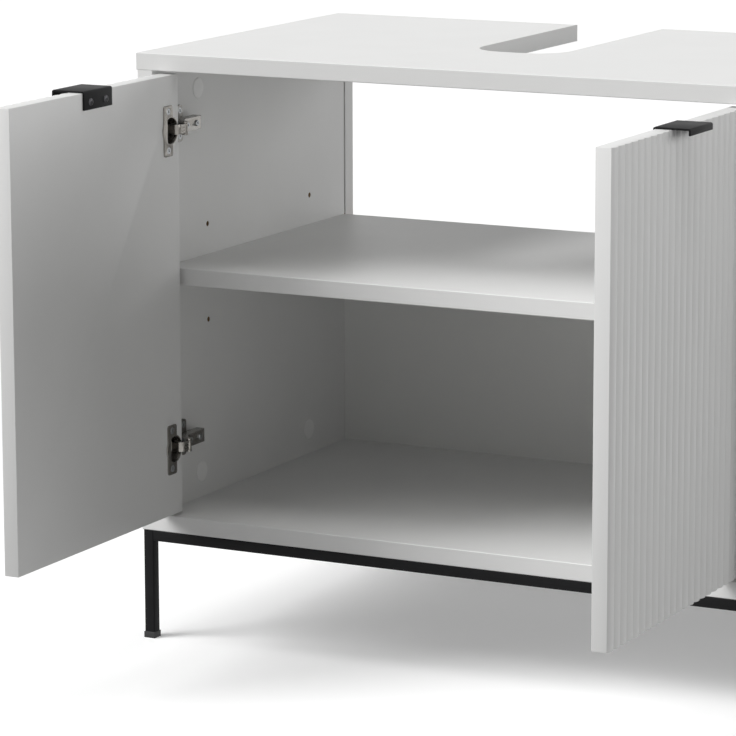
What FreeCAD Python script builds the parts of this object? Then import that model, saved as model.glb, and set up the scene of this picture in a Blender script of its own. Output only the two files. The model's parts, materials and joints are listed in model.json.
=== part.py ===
import FreeCAD, Part
import math
import os
from FreeCAD import Vector

# Sink base cabinet: two ribbed inset doors, one shelf, and a base frame of square tube.
#
# X runs across the front (right positive), Y from the front to the back, Z up from the floor.
# The origin is on the floor, midway between the rear edge and the open doors' free edges.
# The doors are stored open by a quarter turn. Each is drawn shut, then swung about its hinge pole.
# Pieces of the left side are drawn, and those of the right side are their mirror images.

# ---- driving dimensions, millimetres ----
# carcass
width = 620.0               # over the top panel
depth = 400.0               # front face to rear face
total_height = 555.0        # floor to top surface
base_height = 105.0         # floor to underside of the bottom panel
board = 16.0                # laminated board
side_inset = 1.0            # the sides stand in from the ends of the top
edge_bevel = 0.6            # on the panel edges that show
hidden_sides = 8            # flats on rods that are hidden, and on their holes
small_sides = 12            # flats on small round pieces that show, and on hinge pins
cover_sides = 16            # flats on the cam covers
cup_sides = 24              # flats on the hinge cups and their bores
sink_cut_width = 90.0       # cut-out for the waste pipe, open to the rear
sink_cut_depth = 250.0
sink_cut_radius = 35.0
# shelf
shelf_drop = 201.0          # top surface to the shelf's upper face
shelf_recess = 17.0         # behind the carcass front
shelf_side_gap = 0.5
shelf_back_gap = 0.5
pin_pitch = 46.0            # between pin holes, up the side
pin_rows = 3
pin_front = 100.0           # first row of holes, behind the front
pin_rear = 94.0             # second row, ahead of the rear
pin_radius = 2.5
pin_hole_depth = 9.0
pin_tongue = 9.0            # length under the shelf
pin_tongue_width = 12.0
pin_tongue_thick = 2.0
pin_tongue_bevel = 3.0
pin_fit = 0.05
# back panel of the lower compartment
back_thick = 3.0
back_inset = 16.5           # rear face of the back panel to the rear of the sides
groove_depth = 6.0
groove_fit = 0.1
back_below_shelf = 0.8      # its top edge under the shelf's upper face
# knock-down joints
cam_radius = 7.4
cam_height = 12.0
cam_inset = 25.0            # cam centre to the end of the side
cam_front = 84.0
cam_rear = 98.0
cam_fit = 0.1
cover_radius = 9.8
cover_thick = 1.0
bolt_radius = 2.5
bolt_head_radius = 3.3
bolt_head_length = 3.0
bolt_thread_length = 9.0
bolt_fit = 0.2
dowel_radius = 4.0
dowel_length = 28.0
dowel_into_panel = 9.0
dowel_step = 32.0           # from the cam to the dowel
dowel_fit = 0.05
# base frame
tube = 10.5
tube_wall = 1.2
frame_inset = 0.6
foot_width = 11.6
foot_height = 6.0
foot_floor = 2.0
foot_plug = 10.0
foot_fit = 0.1
foot_bevel = 0.8
rail_screw_inset = 60.0
rail_screw_radius = 2.0
rail_screw_grip = 11.0      # length in the bottom panel
rail_screw_head = 3.6
rail_screw_fit = 0.1
# doors
door_gap = 3.0              # to the side, to the other door, and above and below
door_proud = 1.0            # rib crowns ahead of the carcass front
rib_count = 22
rib_height = 2.2
rib_flats = 4               # flats across one rib
# hinges
hinge_from_top = 51.0       # hinge centre to the door's upper edge
hinge_from_bottom = 62.5
pole_in = 9.9               # from the side's inner face
pole_back = 4.9             # behind the carcass front
arm_pin_in = 23.0
arm_pin_back = 19.2
cup_pin_throw = 1.8         # cup pin to the pole
cup_radius = 13.0
cup_depth = 11.5
cup_wall = 0.8
cup_floor = 0.6
cup_inset = 15.5            # cup centre to the door's hinge edge
cup_far_wall = 21.8         # hinge edge to the far wall of the link slot
cup_fit = 0.1
cup_notch = 10.2
cup_notch_depth = 6.0
flange_thick = 1.0
flange_radius = 13.5
flange_near = 11.2
flange_far = 27.3
flange_half = 23.5
flange_corner = 2.0
cup_screw_half = 18.0
cup_screw_inset = 19.0
cup_pin_radius = 0.9
cup_pin_end = 0.05          # the pin's ends to the cup's inner wall
cup_eye_radius = 2.0
link_half = 4.5
link_thick = 2.4
link_reach = 12.3           # from the cup pin, out through the cup's mouth
link_rise = 1.2
arm_pin_radius = 1.6
arm_pin_end = 0.4           # the pin stands out of the cheeks
arm_eye_radius = 2.6
arm_head_radius = 2.8
arm_sheet = 1.4
arm_cheek_gap = 0.3
arm_height = 14.5           # web to the side's inner face
arm_low = 5.0
arm_rear = 66.0
arm_front = 30.0
arm_knee = 34.0
arm_corner = 2.5
arm_brow_angle = 45.0       # where the cheek's sloped front edge meets its round head
arm_heel_angle = 225.0      # where its lower edge does
arm_web_share = 0.55        # how far the web follows the slope
pin_running_fit = 0.03
plate_block = 4.6
plate_block_half = 4.4
plate_front = 28.0
plate_rear = 62.0
plate_wing = 2.0
plate_wing_centre = 46.8
plate_wing_half = 17.3
plate_wing_width = 9.6
plate_wing_bevel = 2.5
plate_screw_half = 12.0
adjuster_front = 38.0
adjuster_rear = 56.0
adjuster_radius = 2.0
adjuster_head = 2.9
adjuster_proud = 1.2
screw_radius = 1.75
screw_head_radius = 3.3
screw_length = 12.0
# handles
handle_width = 48.0
handle_sheet = 1.8
handle_drop = 15.3          # down the door's inner face
handle_reach = 15.6         # lip ahead of the rib crowns
handle_lip = 6.0
handle_bend = 1.0
handle_screw_step = 26.0
handle_screw_drop = 8.5
handle_screw_head = 3.4
handle_screw_dome = 1.5

# ---- derived places ----
inner_width = width - 2 * (board + side_inset)
side_face = -inner_width / 2                        # inner face of the left side
door_width = (inner_width - 3 * door_gap) / 2
open_reach = door_width + door_gap - pole_in - pole_back
front = (open_reach - depth) / 2                    # carcass front plane
rear = front + depth
top_under = total_height - board
bottom_top = base_height + board
door_low = bottom_top + door_gap
door_high = top_under - door_gap
shelf_top = total_height - shelf_drop
shelf_under = shelf_top - board
back_rear = rear - back_inset
back_front = back_rear - back_thick
door_edge = side_face + door_gap                    # hinge edge of the shut left door
crown = front - door_proud
door_back = crown + board                           # inner face of the shut door
hinge_heights = (door_high - hinge_from_top, door_low + hinge_from_bottom)
pole = Vector(side_face + pole_in, front + pole_back, 0)
arm_pin = Vector(side_face + arm_pin_in, front + arm_pin_back, 0)
pole_angle = math.atan2(arm_pin.y - pole.y, arm_pin.x - pole.x)
cup_pin_angle = pole_angle - math.pi / 4            # so that both end positions close the loop
cup_pin = pole + Vector(math.cos(cup_pin_angle), math.sin(cup_pin_angle), 0) * cup_pin_throw
up = Vector(0, 0, 1)
parts = {}


def box(x0, x1, y0, y1, z0, z1):
    return Part.makeBox(x1 - x0, y1 - y0, z1 - z0, Vector(x0, y0, z0))


def ring_of_corners(radius, centre, along, sides):
    """Corners round a centre, square to a direction, placed so that the flats lie at the radius."""
    first = Vector(1, 0, 0) if abs(along.z) > 0.5 else up
    second = along.cross(first)
    reach = radius / math.cos(math.pi / sides)
    turns = [2 * math.pi * (side + 0.5) / sides for side in range(sides)]
    return [centre + first * (reach * math.cos(turn)) + second * (reach * math.sin(turn)) for turn in turns]


def filled(corners):
    return Part.Face(Part.makePolygon(corners + corners[:1]))


def rod(radius, start, end, sides=hidden_sides):
    """A small straight rod or hole, drawn with flats that lie at the radius."""
    run = end.sub(start)
    along = Vector(run).normalize()
    return filled(ring_of_corners(radius, start, along, sides)).extrude(run)


def hinge_rod(radius, start, end):
    """A pin whose corners lie at the radius, so that it turns freely in a hole drawn with flats."""
    return rod(radius * math.cos(math.pi / small_sides), start, end, small_sides)


def taper(radius_a, radius_b, start, end, sides):
    along = end.sub(start).normalize()
    near = ring_of_corners(radius_a, start, along, sides)
    far = ring_of_corners(radius_b, end, along, sides)
    faces = [filled([near[i - 1], near[i], far[i], far[i - 1]]) for i in range(sides)]
    return Part.makeSolid(Part.makeShell([filled(near), filled(far)] + faces))


def prism(corners, z0, z1):
    """A flat outline of XY corners, raised from z0 to z1."""
    return filled([Vector(x, y, z0) for x, y in corners]).extrude(Vector(0, 0, z1 - z0))


def union(shapes):
    return shapes[0].multiFuse(shapes[1:]).removeSplitter()


def group(shapes):
    return Part.makeCompound(shapes)


def mirrored(shape):
    return shape.mirror(Vector(0, 0, 0), Vector(1, 0, 0))


def swung_open(shape):
    """A left door piece, turned from shut to its stored place."""
    turned = shape.copy()
    turned.rotate(pole, up, -90)
    return turned


def round_edges(shape, radius, wanted):
    return shape.makeFillet(radius, [edge for edge in shape.Edges if wanted(edge)])


def bevel_edges(shape, size, wanted):
    return shape.makeChamfer(size, [edge for edge in shape.Edges if wanted(edge)])


def is_near(value, target):
    return abs(value - target) < 1e-4


def countersunk(point, way, shank, head, length):
    """A countersunk screw, its flat head at the point and its shank along the way."""
    neck = point + way * (head - shank)
    return union([taper(head, shank, point, neck, hidden_sides), rod(shank, neck, point + way * length)])


# ---- places of the fasteners ----
cam_places = (front + cam_front, rear - cam_rear)
dowel_places = tuple(y + dowel_step for y in cam_places)
pin_places = (front + pin_front, rear - pin_rear)
pin_height = shelf_under - pin_tongue_thick / 2     # the row that carries the shelf
pin_heights = [pin_height + (row - pin_rows // 2) * pin_pitch for row in range(pin_rows)]


def joint_levels():
    """Each end of a side: the joint plane and the way into the side."""
    return ((top_under, -1), (bottom_top, 1))


# ---- carcass panels ----
def top_panel():
    half = width / 2
    panel = box(-half, half, front, rear, top_under, total_height)
    slot_front = rear - sink_cut_depth
    slot = box(-sink_cut_width / 2, sink_cut_width / 2, slot_front, rear + board,
               top_under - board, total_height + board)
    slot = round_edges(slot, sink_cut_radius,
                       lambda e: is_near(e.BoundBox.YMax, slot_front) and e.BoundBox.ZLength > board)
    panel = panel.cut(slot)
    panel = bevel_edges(panel, edge_bevel, lambda e: e.BoundBox.ZLength < 1e-4
                        and is_near(e.BoundBox.YMax, front))
    panel = bevel_edges(panel, edge_bevel, lambda e: is_near(e.BoundBox.ZMin, total_height)
                        and is_near(abs(e.CenterOfMass.x), half))
    return panel.cut(group(panel_seats() + side_seats()))


def bottom_panel():
    half = width / 2
    panel = box(-half, half, front, rear, base_height, bottom_top)
    panel = bevel_edges(panel, edge_bevel, lambda e: e.BoundBox.ZLength < 1e-4
                        and is_near(e.BoundBox.YMax, front))
    groove = box(-inner_width / 2 - groove_depth, inner_width / 2 + groove_depth,
                 back_front - groove_fit, back_rear + groove_fit,
                 bottom_top - groove_depth, bottom_top + board)
    return panel.cut(group([groove] + panel_seats() + side_seats() + rail_screws))


def side_panel_left():
    outer = side_face - board
    panel = box(outer, side_face, front, rear, bottom_top, top_under)
    panel = bevel_edges(panel, edge_bevel, lambda e: e.BoundBox.ZLength > board
                        and is_near(e.BoundBox.YMax, front))
    groove = box(side_face - groove_depth, side_face + board, back_front - groove_fit,
                 back_rear + groove_fit, bottom_top - board, top_under + board)
    tools = [groove] + side_seats() + left_pin_holes()
    for height in hinge_heights:
        tools += plate_screw_set(height)
    return panel.cut(group(tools))


def left_pin_holes():
    holes = []
    for y in pin_places:
        for z in pin_heights:
            mouth = Vector(side_face + 1, y, z)
            holes.append(rod(pin_radius, Vector(side_face - pin_hole_depth, y, z), mouth, small_sides))
    return holes


def shelf_board():
    half = inner_width / 2 - shelf_side_gap
    shelf = box(-half, half, front + shelf_recess, back_front - shelf_back_gap, shelf_under, shelf_top)
    return bevel_edges(shelf, edge_bevel, lambda e: e.BoundBox.ZLength < 1e-4
                       and is_near(e.BoundBox.YMax, front + shelf_recess))


def back_board():
    half = inner_width / 2 + groove_depth - groove_fit
    return box(-half, half, back_front, back_rear,
               bottom_top - groove_depth + groove_fit, shelf_top - back_below_shelf)


# ---- knock-down fittings of the left side; the right side is its mirror ----
def side_seats():
    """Room that each side joint's bolt, cam and dowel need, in the side and in the panel."""
    seats = []
    middle = side_face - board / 2
    for level, into in joint_levels():
        way = Vector(0, 0, into)
        for y in cam_places:
            joint = Vector(middle, y, level)
            seats.append(rod(bolt_radius + bolt_fit, joint, joint + way * cam_inset))
            cam_at = Vector(side_face, y, level + into * cam_inset)
            seats.append(rod(cam_radius + cam_fit, cam_at, cam_at - Vector(cam_height + 2 * cam_fit, 0, 0),
                             small_sides))
        for y in dowel_places:
            joint = Vector(middle, y, level)
            start = joint - way * (dowel_into_panel + dowel_fit)
            end = joint + way * (dowel_length - dowel_into_panel + dowel_fit)
            seats.append(rod(dowel_radius + dowel_fit, start, end))
    return seats


def panel_seats():
    """Threaded seats of the bolts in the top and bottom panels, and all that the right side needs."""
    seats = []
    for level, into in joint_levels():
        for y in cam_places:
            joint = Vector(side_face - board / 2, y, level)
            seats.append(rod(bolt_radius, joint - Vector(0, 0, into * bolt_thread_length), joint))
    return seats + [mirrored(seat) for seat in seats + side_seats()]


def cam_bolts_left():
    bolts = []
    for level, into in joint_levels():
        way = Vector(0, 0, into)
        for y in cam_places:
            joint = Vector(side_face - board / 2, y, level)
            tip = joint + way * cam_inset
            head = tip - way * bolt_head_length
            bolts.append(union([rod(bolt_radius, joint - way * bolt_thread_length, head),
                                rod(bolt_head_radius, head, tip)]))
    return bolts


def cams_left():
    """Cam locks, each with a hollow that takes the bolt and its head."""
    cams = []
    for level, into in joint_levels():
        for y in cam_places:
            face = Vector(side_face - cam_fit, y, level + into * cam_inset)
            cam = rod(cam_radius, face, face - Vector(cam_height, 0, 0), small_sides)
            bolt_end = Vector(side_face - board / 2, y, face.z + into * bolt_fit)
            hollow = rod(bolt_head_radius + bolt_fit, bolt_end, Vector(bolt_end.x, y, level))
            cams.append(cam.cut(hollow))
    return cams


def covers_left():
    covers = []
    for level, into in joint_levels():
        for y in cam_places:
            seat = Vector(side_face, y, level + into * cam_inset)
            covers.append(rod(cover_radius, seat, seat + Vector(cover_thick, 0, 0), cover_sides))
    return covers


def dowels_left():
    dowels = []
    for level, into in joint_levels():
        for y in dowel_places:
            start = Vector(side_face - board / 2, y, level - into * dowel_into_panel)
            dowels.append(rod(dowel_radius, start, start + Vector(0, 0, into * dowel_length)))
    return dowels


def shelf_pins_left():
    """Spoon pins: a stud in the side and a flat tongue under the shelf."""
    pins = []
    for y in pin_places:
        inner = Vector(side_face - pin_hole_depth + pin_fit, y, pin_height)
        stud = rod(pin_radius - pin_fit, inner, Vector(side_face, y, pin_height), small_sides)
        tongue = box(side_face, side_face + pin_tongue, y - pin_tongue_width / 2, y + pin_tongue_width / 2,
                     shelf_under - pin_tongue_thick, shelf_under)
        tongue = bevel_edges(tongue, pin_tongue_bevel,
                             lambda e: e.BoundBox.ZLength > 1 and is_near(e.BoundBox.XMin, side_face + pin_tongue))
        pins.append(union([stud, tongue]))
    return pins


# ---- base frame ----
frame_x = width / 2 - frame_inset
frame_front = front + frame_inset
frame_rear = rear - frame_inset
rail_low = base_height - tube


def tube_along(axis, x0, x1, y0, y1, z0, z1):
    """A square tube, hollow along the axis."""
    inner = [x0 + tube_wall, x1 - tube_wall, y0 + tube_wall, y1 - tube_wall, z0 + tube_wall, z1 - tube_wall]
    start = {"x": 0, "y": 2, "z": 4}[axis]
    inner[start] -= 2 * tube_wall
    inner[start + 1] += 2 * tube_wall
    return box(x0, x1, y0, y1, z0, z1).cut(box(*inner))


def rail_screw_list():
    half = frame_x - tube / 2
    span_y = (frame_front + rail_screw_inset, frame_rear - rail_screw_inset)
    spots = [(x, y) for y in (frame_front + tube / 2, frame_rear - tube / 2)
             for x in (-frame_x + rail_screw_inset, frame_x - rail_screw_inset)]
    spots += [(x, y) for x in (-half, half) for y in span_y]
    length = tube + rail_screw_grip
    return [countersunk(Vector(x, y, rail_low), up, rail_screw_radius, rail_screw_head, length)
            for x, y in spots]


def rail_holes():
    """Holes through both walls of a rail, wider than the screws by a small fit."""
    holes = []
    for screw in rail_screws:
        centre = screw.BoundBox.Center
        low = Vector(centre.x, centre.y, rail_low)
        sink = rail_screw_head - rail_screw_radius
        holes.append(rod(rail_screw_radius + rail_screw_fit, low, low + up * (tube + 1)))
        holes.append(taper(rail_screw_head + rail_screw_fit, rail_screw_radius + rail_screw_fit,
                           low, low + up * sink, hidden_sides))
    return holes


rail_screws = rail_screw_list()


def front_rail():
    rail = tube_along("x", -frame_x + tube, frame_x - tube, frame_front, frame_front + tube,
                      rail_low, base_height)
    return rail.cut(group(rail_holes()))


def rear_rail():
    rail = tube_along("x", -frame_x + tube, frame_x - tube, frame_rear - tube, frame_rear,
                      rail_low, base_height)
    return rail.cut(group(rail_holes()))


def left_rail():
    rail = tube_along("y", -frame_x, -frame_x + tube, frame_front + tube, frame_rear - tube,
                      rail_low, base_height)
    return rail.cut(group(rail_holes()))


def leg_at(x0, y0):
    return tube_along("z", x0, x0 + tube, y0, y0 + tube, foot_floor, base_height)


def foot_at(x0, y0):
    """A plastic foot: a square shoe round the tube's end, and a plug up inside it."""
    cx = x0 + tube / 2
    cy = y0 + tube / 2
    half = foot_width / 2
    shoe = box(cx - half, cx + half, cy - half, cy + half, 0, foot_height)
    shoe = bevel_edges(shoe, foot_bevel, lambda e: is_near(e.BoundBox.ZMax, 0))
    hole = box(x0 - foot_fit, x0 + tube + foot_fit, y0 - foot_fit, y0 + tube + foot_fit,
               foot_floor, foot_height + 1)
    bore = tube / 2 - tube_wall - foot_fit
    plug = box(cx - bore, cx + bore, cy - bore, cy + bore, foot_floor, foot_floor + foot_plug)
    return shoe.cut(hole).fuse(plug).removeSplitter()


# ---- left door, drawn shut ----
def ribbed_door():
    """Flat inner face; the outer face is a row of convex ribs from edge to edge."""
    pitch = door_width / rib_count
    bend = pitch * pitch / (8 * rib_height) + rib_height / 2
    half_sweep = math.asin(pitch / 2 / bend)
    far_edge = door_edge + door_width
    corners = [(far_edge, door_back), (far_edge, crown + rib_height)]
    for rib in range(rib_count, 0, -1):
        middle = door_edge + (rib - 0.5) * pitch
        for flat_end in range(1, rib_flats + 1):
            turn = half_sweep * (1 - 2 * flat_end / rib_flats)
            corners.append((middle + bend * math.sin(turn), crown + bend * (1 - math.cos(turn))))
    door = prism(corners + [(door_edge, door_back)], door_low, door_high)
    tools = handle_screws_shut()
    for height in hinge_heights:
        tools.append(cup_bore(height))
        tools += cup_screw_set(height)
    return door.cut(group(tools))


def cup_centre(height):
    return Vector(door_edge + cup_inset, door_back, height)


def cup_bore(height):
    mouth = cup_centre(height)
    return rod(cup_radius + cup_fit, mouth + Vector(0, 1, 0), mouth - Vector(0, cup_depth + cup_fit, 0),
               cup_sides)


def cup_pin_shut():
    """Place of the cup pin on the shut door: its open place, turned back about the pole."""
    arm = cup_pin - pole
    return pole + Vector(-arm.y, arm.x, 0)


def hinge_cup(height):
    """A pressed cup with an oblong flange, a D-shaped link slot and a notch for the link's neck."""
    mouth = cup_centre(height)
    inward = Vector(0, -1, 0)
    shell = rod(cup_radius, mouth, mouth + inward * cup_depth, cup_sides)
    flange = box(door_edge + flange_near, door_edge + flange_far, door_back, door_back + flange_thick,
                 height - flange_half, height + flange_half)
    flange = bevel_edges(flange, flange_corner, lambda e: is_near(e.BoundBox.YLength, flange_thick))
    rim = rod(flange_radius, mouth, mouth - inward * flange_thick, cup_sides)
    body = union([shell, flange, rim])
    hollow_radius = cup_radius - cup_wall
    hollow = rod(hollow_radius, mouth - inward * (flange_thick + 1),
                 mouth + inward * (cup_depth - cup_floor), cup_sides)
    slot_side = box(door_edge, door_edge + cup_far_wall, door_back - cup_depth, door_back + 2 * flange_thick,
                    height - cup_radius, height + cup_radius)
    notch = box(door_edge, door_edge + cup_inset, door_back - cup_notch_depth,
                door_back + 2 * flange_thick, height - cup_notch / 2, height + cup_notch / 2)
    body = body.cut(hollow.common(slot_side)).cut(notch)
    return body.cut(group(cup_screw_set(height)))


def cup_pin_at(height):
    """The pin spans the cup from wall to wall, across the link's slot."""
    at = cup_pin_shut()
    offset = abs(at.x - (door_edge + cup_inset)) + cup_pin_radius
    half = math.sqrt((cup_radius - cup_wall) ** 2 - offset ** 2) - cup_pin_end
    return hinge_rod(cup_pin_radius, Vector(at.x, at.y, height - half), Vector(at.x, at.y, height + half))


def cup_screw_set(height):
    heads = [Vector(door_edge + cup_screw_inset, door_back + flange_thick, height + side * cup_screw_half)
             for side in (-1, 1)]
    return [countersunk(head, Vector(0, -1, 0), screw_radius, screw_head_radius, screw_length)
            for head in heads]


# ---- left hinge: swing link and the pieces on the side ----
def upright(radius, centre, low, high):
    """A round post about a vertical line of the hinge."""
    return hinge_rod(radius, Vector(centre.x, centre.y, low), Vector(centre.x, centre.y, high))


def upright_hole(radius, centre, low, high):
    return rod(radius, Vector(centre.x, centre.y, low), Vector(centre.x, centre.y, high), small_sides)


def bar(start, end, thick, low, high):
    """A straight flat bar between two points of the XY plane."""
    run = end.sub(start)
    side = Vector(-run.y, run.x, 0).normalize() * (thick / 2)
    corners = [start + side, end + side, end - side, start - side]
    return prism([(corner.x, corner.y) for corner in corners], low, high)


def swing_link(height):
    """A cranked link: an eye on the cup pin, a neck out of the cup, and an eye on the arm's pin."""
    low = height - link_half
    high = height + link_half
    crank = cup_pin + Vector(link_reach, link_rise, 0)
    link = union([upright(cup_eye_radius, cup_pin, low, high),
                  bar(cup_pin, crank, link_thick, low, high),
                  upright_hole(link_thick / 2, crank, low, high),
                  bar(crank, arm_pin, link_thick, low, high),
                  upright(arm_eye_radius, arm_pin, low, high)])
    return link.cut(group([upright_hole(cup_pin_radius + pin_running_fit, cup_pin, low, high),
                           upright_hole(arm_pin_radius + pin_running_fit, arm_pin, low, high)]))


def arm_pin_at(height):
    half = link_half + arm_cheek_gap + arm_sheet + arm_pin_end
    return hinge_rod(arm_pin_radius, Vector(arm_pin.x, arm_pin.y, height - half),
                     Vector(arm_pin.x, arm_pin.y, height + half))


def on_head(angle):
    """A point on the cheek's round head, by its angle in the XY plane."""
    turn = math.radians(angle)
    return arm_pin + Vector(math.cos(turn), math.sin(turn), 0) * arm_head_radius


def hinge_arm(height):
    """A channel: two cheeks from the plate up to the pin, and a web that faces the room."""
    inner = link_half + arm_cheek_gap
    outer = inner + arm_sheet
    web = side_face + arm_height
    rear_end = front + arm_rear
    knee = Vector(web, front + arm_knee, 0)
    brow = on_head(arm_brow_angle)
    heel = on_head(arm_heel_angle)
    outline = [(side_face + arm_low, front + arm_front), (side_face + arm_low, rear_end),
               (web, rear_end), (knee.x, knee.y), (brow.x, brow.y), (heel.x, heel.y)]
    pieces = []
    for low, high in ((height - outer, height - inner), (height + inner, height + outer)):
        cheek = bevel_edges(prism(outline, low, high), arm_corner,
                            lambda e: e.BoundBox.ZLength > 1 and is_near(e.BoundBox.YMin, rear_end))
        pieces += [cheek, upright(arm_head_radius, arm_pin, low, high)]
    slope = brow.sub(knee)
    stop = knee + slope * arm_web_share
    under = Vector(-slope.y, slope.x, 0).normalize() * arm_sheet
    web_end = rear_end - arm_corner
    pieces.append(prism([(web, knee.y), (web, web_end), (web - arm_sheet, web_end),
                         (web - arm_sheet, knee.y)], height - inner, height + inner))
    pieces.append(prism([(knee.x, knee.y), (stop.x, stop.y), (stop.x - under.x, stop.y - under.y),
                         (knee.x - arm_sheet, knee.y)], height - inner, height + inner))
    return union(pieces).cut(group([arm_pin_at(height)] + adjuster_set(height)))


def adjuster_set(height):
    """Two set screws through the web into the plate, for depth and height."""
    screws = []
    for back in (adjuster_front, adjuster_rear):
        y = front + back
        web = side_face + arm_height
        tip = Vector(side_face + plate_wing, y, height)
        neck = Vector(web, y, height)
        head = Vector(web + adjuster_proud, y, height)
        screws.append(union([rod(adjuster_radius, tip, neck), rod(adjuster_head, neck, head, small_sides)]))
    return screws


def hinge_plate(height):
    """A cross-shaped mounting plate: a raised block under the arm and a wing with two screws."""
    block = box(side_face, side_face + plate_block, front + plate_front, front + plate_rear,
                height - plate_block_half, height + plate_block_half)
    centre = front + plate_wing_centre
    wing = box(side_face, side_face + plate_wing, centre - plate_wing_width / 2, centre + plate_wing_width / 2,
               height - plate_wing_half, height + plate_wing_half)
    wing = bevel_edges(wing, plate_wing_bevel, lambda e: is_near(e.BoundBox.XLength, plate_wing))
    plate = union([block, wing])
    return plate.cut(group(plate_screw_set(height) + adjuster_set(height)))


def plate_screw_set(height):
    heads = [Vector(side_face + plate_wing, front + plate_wing_centre, height + side * plate_screw_half)
             for side in (-1, 1)]
    return [countersunk(head, Vector(-1, 0, 0), screw_radius, screw_head_radius, screw_length)
            for head in heads]


# ---- left handle, drawn on the shut door ----
handle_centre = door_edge + door_width / 2


def handle_shut():
    """An angle over the door's upper edge, with a turned-down lip ahead of the ribs."""
    x0 = handle_centre - handle_width / 2
    plate_back = door_back + handle_sheet
    lip_front = crown - handle_reach
    roof = door_high + handle_sheet
    outline = [(door_back, door_high - handle_drop), (plate_back, door_high - handle_drop),
               (plate_back, roof), (lip_front, roof), (lip_front, roof - handle_lip),
               (lip_front + handle_sheet, roof - handle_lip), (lip_front + handle_sheet, door_high),
               (door_back, door_high)]
    handle = filled([Vector(x0, y, z) for y, z in outline]).extrude(Vector(handle_width, 0, 0))
    handle = bevel_edges(handle, handle_bend, lambda e: e.BoundBox.XLength > handle_width / 2
                         and is_near(e.BoundBox.ZMin, roof))
    return handle.cut(group(handle_screws_shut()))


def handle_screws_shut():
    screws = []
    way = Vector(0, -1, 0)
    for side in (-1, 1):
        x = handle_centre + side * handle_screw_step / 2
        seat = Vector(x, door_back + handle_sheet, door_high - handle_screw_drop)
        top = seat - way * handle_screw_dome
        head = taper(handle_screw_head - handle_screw_dome / 2, handle_screw_head, top, seat, small_sides)
        screws.append(union([head, rod(screw_radius, seat, seat + way * screw_length)]))
    return screws


def both_heights(maker):
    return [maker(height) for height in hinge_heights]


def flat(lists):
    return [shape for shapes in lists for shape in shapes]


def build():
    left_side = side_panel_left()
    parts["top_panel"] = top_panel()
    parts["bottom_panel"] = bottom_panel()
    parts["left_side_panel"] = left_side
    parts["right_side_panel"] = mirrored(left_side)
    parts["shelf"] = shelf_board()
    parts["back_panel"] = back_board()
    both_sides = {"shelf_pins": shelf_pins_left(), "cam_bolts": cam_bolts_left(), "cams": cams_left(),
                  "cam_covers": covers_left(), "dowels": dowels_left()}
    for name, left in both_sides.items():
        parts[name] = group(left + [mirrored(shape) for shape in left])
    rail = left_rail()
    parts["base_front_rail"] = front_rail()
    parts["base_rear_rail"] = rear_rail()
    parts["base_left_rail"] = rail
    parts["base_right_rail"] = mirrored(rail)
    corners = {"front_left": (-frame_x, frame_front), "rear_left": (-frame_x, frame_rear - tube)}
    for corner, (x0, y0) in corners.items():
        leg = leg_at(x0, y0)
        foot = foot_at(x0, y0)
        other = corner.replace("left", "right")
        parts[corner + "_leg"] = leg
        parts[other + "_leg"] = mirrored(leg)
        parts[corner + "_foot"] = foot
        parts[other + "_foot"] = mirrored(foot)
    parts["frame_screws"] = group(rail_screws)
    left = {"door": [swung_open(ribbed_door())],
            "handle": [swung_open(handle_shut())],
            "handle_screws": [swung_open(screw) for screw in handle_screws_shut()],
            "hinge_cups": [swung_open(cup) for cup in both_heights(hinge_cup)],
            "hinge_cup_pins": [swung_open(pin) for pin in both_heights(cup_pin_at)],
            "hinge_cup_screws": [swung_open(screw) for screw in flat(both_heights(cup_screw_set))],
            "hinge_links": both_heights(swing_link),
            "hinge_arm_pins": both_heights(arm_pin_at),
            "hinge_arms": both_heights(hinge_arm),
            "hinge_adjusters": flat(both_heights(adjuster_set)),
            "hinge_plates": both_heights(hinge_plate),
            "hinge_plate_screws": flat(both_heights(plate_screw_set))}
    for name, shapes in left.items():
        parts["left_" + name] = shapes[0] if len(shapes) == 1 else group(shapes)
        others = [mirrored(shape) for shape in shapes]
        parts["right_" + name] = others[0] if len(others) == 1 else group(others)


build()
os.makedirs("parts", exist_ok=True)
for node, shape in parts.items():
    shape.exportStep("parts/" + node + ".step")
print(len(parts), "nodes; arm pin", arm_pin, "cup pin", cup_pin, "front", round(front, 3))
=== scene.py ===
import json
import math
import bmesh
import bpy
from mathutils import Matrix, Vector


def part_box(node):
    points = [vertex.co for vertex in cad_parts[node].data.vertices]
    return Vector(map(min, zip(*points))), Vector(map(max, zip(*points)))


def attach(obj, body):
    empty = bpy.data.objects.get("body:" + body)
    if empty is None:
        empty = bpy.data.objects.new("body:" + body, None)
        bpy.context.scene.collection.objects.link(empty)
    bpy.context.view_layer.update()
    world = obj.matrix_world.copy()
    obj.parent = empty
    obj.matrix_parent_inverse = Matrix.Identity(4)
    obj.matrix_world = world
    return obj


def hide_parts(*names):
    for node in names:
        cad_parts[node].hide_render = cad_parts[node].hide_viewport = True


bl_info = {
    "name": "Sink Base Cabinet",
    "version": (1, 0, 0),
    "blender": (4, 5, 0),
    "location": "View3D > Sidebar > Cabinet",
    "description": "Dresses the cabinet's fixed frame: boards, fluted doors, handles, hinges and base",
    "category": "Add Mesh",
}

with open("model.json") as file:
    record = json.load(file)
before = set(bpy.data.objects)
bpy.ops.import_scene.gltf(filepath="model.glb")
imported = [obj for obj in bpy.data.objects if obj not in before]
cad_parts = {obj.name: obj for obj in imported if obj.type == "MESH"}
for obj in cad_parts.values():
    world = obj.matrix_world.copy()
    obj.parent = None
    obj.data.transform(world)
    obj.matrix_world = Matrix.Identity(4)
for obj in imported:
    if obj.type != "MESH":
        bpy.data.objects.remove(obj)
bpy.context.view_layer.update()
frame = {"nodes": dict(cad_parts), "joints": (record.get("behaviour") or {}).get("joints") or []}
MM = 0.001
SIDES = ("left", "right")


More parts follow.
